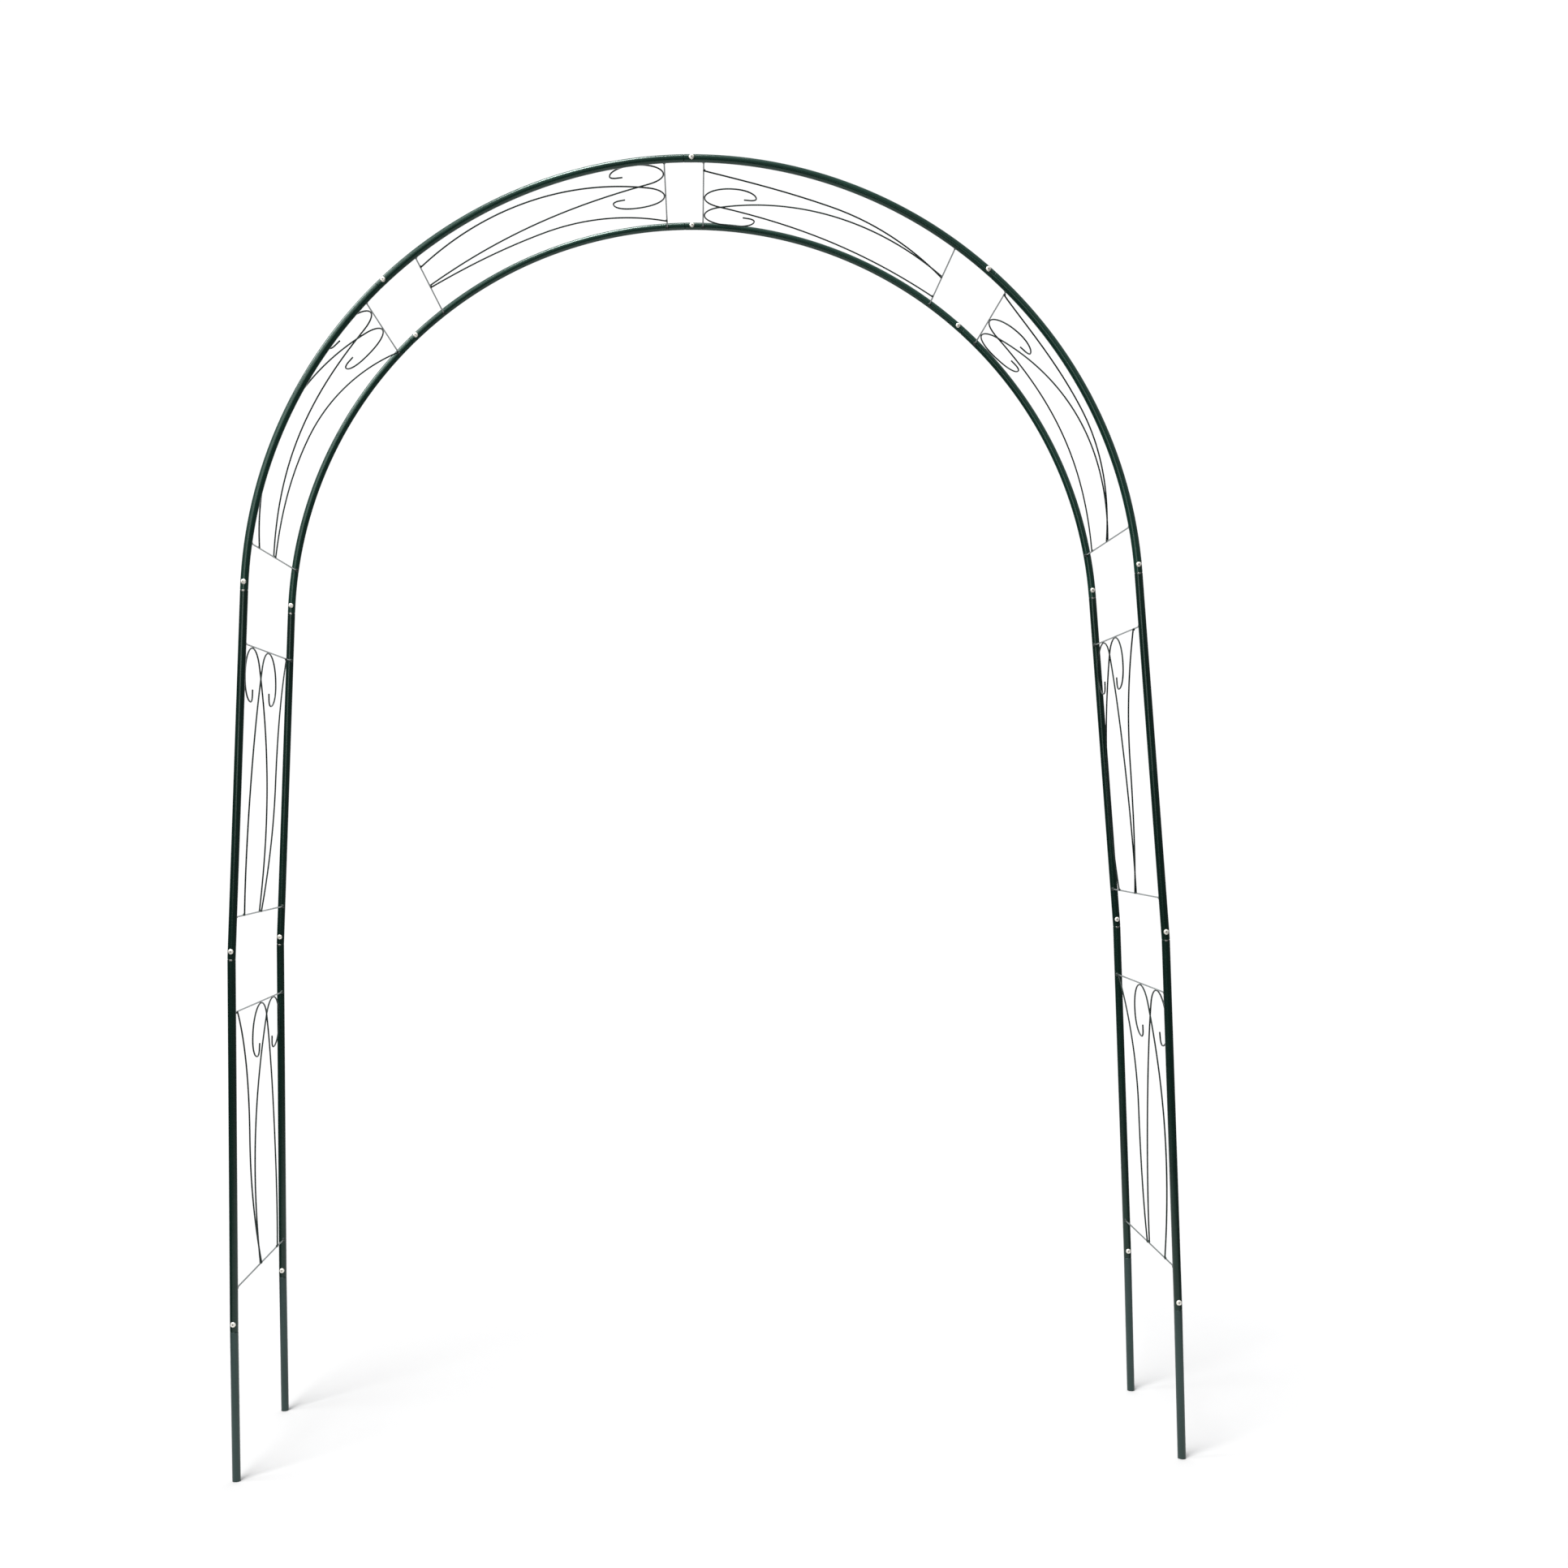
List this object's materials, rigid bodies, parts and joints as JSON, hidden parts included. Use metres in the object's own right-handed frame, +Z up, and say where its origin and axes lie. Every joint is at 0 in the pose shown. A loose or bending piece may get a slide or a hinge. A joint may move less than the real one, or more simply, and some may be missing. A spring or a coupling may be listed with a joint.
{
  "type": "garden rose arch",
  "caption": "Round-topped steel tube garden arch with ladder sides of crossed scroll wires, on plain ground stakes, for climbing plants.",
  "frame": {"origin": "on the ground, midway between the four stakes", "axes": "+Z up, +X to the right across the walkway, +Y through the arch away from the bolt heads"},
  "size_m": [1.7318, 0.3998, 2.4029],
  "materials": {
    "tube_paint": "dark green powder coat, satin",
    "wire_paint": "dark green powder coat over thin wire, satin",
    "stake_paint": "dark green powder coat, slightly duller",
    "zinc": "bright zinc plating"
  },
  "bodies": {
    "root": {"left_front_stake": "stake_paint", "left_back_stake": "stake_paint", "right_front_stake": "stake_paint", "right_back_stake": "stake_paint", "left_lower_leg_front_tube": "tube_paint", "left_lower_leg_back_tube": "tube_paint", "left_lower_leg_rungs": "wire_paint", "left_lower_leg_bow_wire": "wire_paint", "left_lower_leg_inner_scroll": "wire_paint", "left_lower_leg_outer_scroll": "wire_paint", "left_upper_leg_front_tube": "tube_paint", "left_upper_leg_back_tube": "tube_paint", "left_upper_leg_rungs": "wire_paint", "left_upper_leg_bow_wire": "wire_paint", "left_upper_leg_inner_scroll": "wire_paint", "left_upper_leg_outer_scroll": "wire_paint", "left_lower_arch_front_tube": "tube_paint", "left_lower_arch_back_tube": "tube_paint", "left_lower_arch_rungs": "wire_paint", "left_lower_arch_bow_wire": "wire_paint", "left_lower_arch_inner_scroll": "wire_paint", "left_lower_arch_outer_scroll": "wire_paint", "left_upper_arch_front_tube": "tube_paint", "left_upper_arch_back_tube": "tube_paint", "left_upper_arch_rungs": "wire_paint", "left_upper_arch_bow_wire": "wire_paint", "left_upper_arch_inner_scroll": "wire_paint", "left_upper_arch_outer_scroll": "wire_paint", "right_lower_leg_front_tube": "tube_paint", "right_lower_leg_back_tube": "tube_paint", "right_lower_leg_rungs": "wire_paint", "right_lower_leg_bow_wire": "wire_paint", "right_lower_leg_inner_scroll": "wire_paint", "right_lower_leg_outer_scroll": "wire_paint", "right_upper_leg_front_tube": "tube_paint", "right_upper_leg_back_tube": "tube_paint", "right_upper_leg_rungs": "wire_paint", "right_upper_leg_bow_wire": "wire_paint", "right_upper_leg_inner_scroll": "wire_paint", "right_upper_leg_outer_scroll": "wire_paint", "right_lower_arch_front_tube": "tube_paint", "right_lower_arch_back_tube": "tube_paint", "right_lower_arch_rungs": "wire_paint", "right_lower_arch_bow_wire": "wire_paint", "right_lower_arch_inner_scroll": "wire_paint", "right_lower_arch_outer_scroll": "wire_paint", "right_upper_arch_front_tube": "tube_paint", "right_upper_arch_back_tube": "tube_paint", "right_upper_arch_rungs": "wire_paint", "right_upper_arch_bow_wire": "wire_paint", "right_upper_arch_inner_scroll": "wire_paint", "right_upper_arch_outer_scroll": "wire_paint", "joint_bolts": "zinc", "joint_nuts": "zinc"}
  },
  "joints": []
}
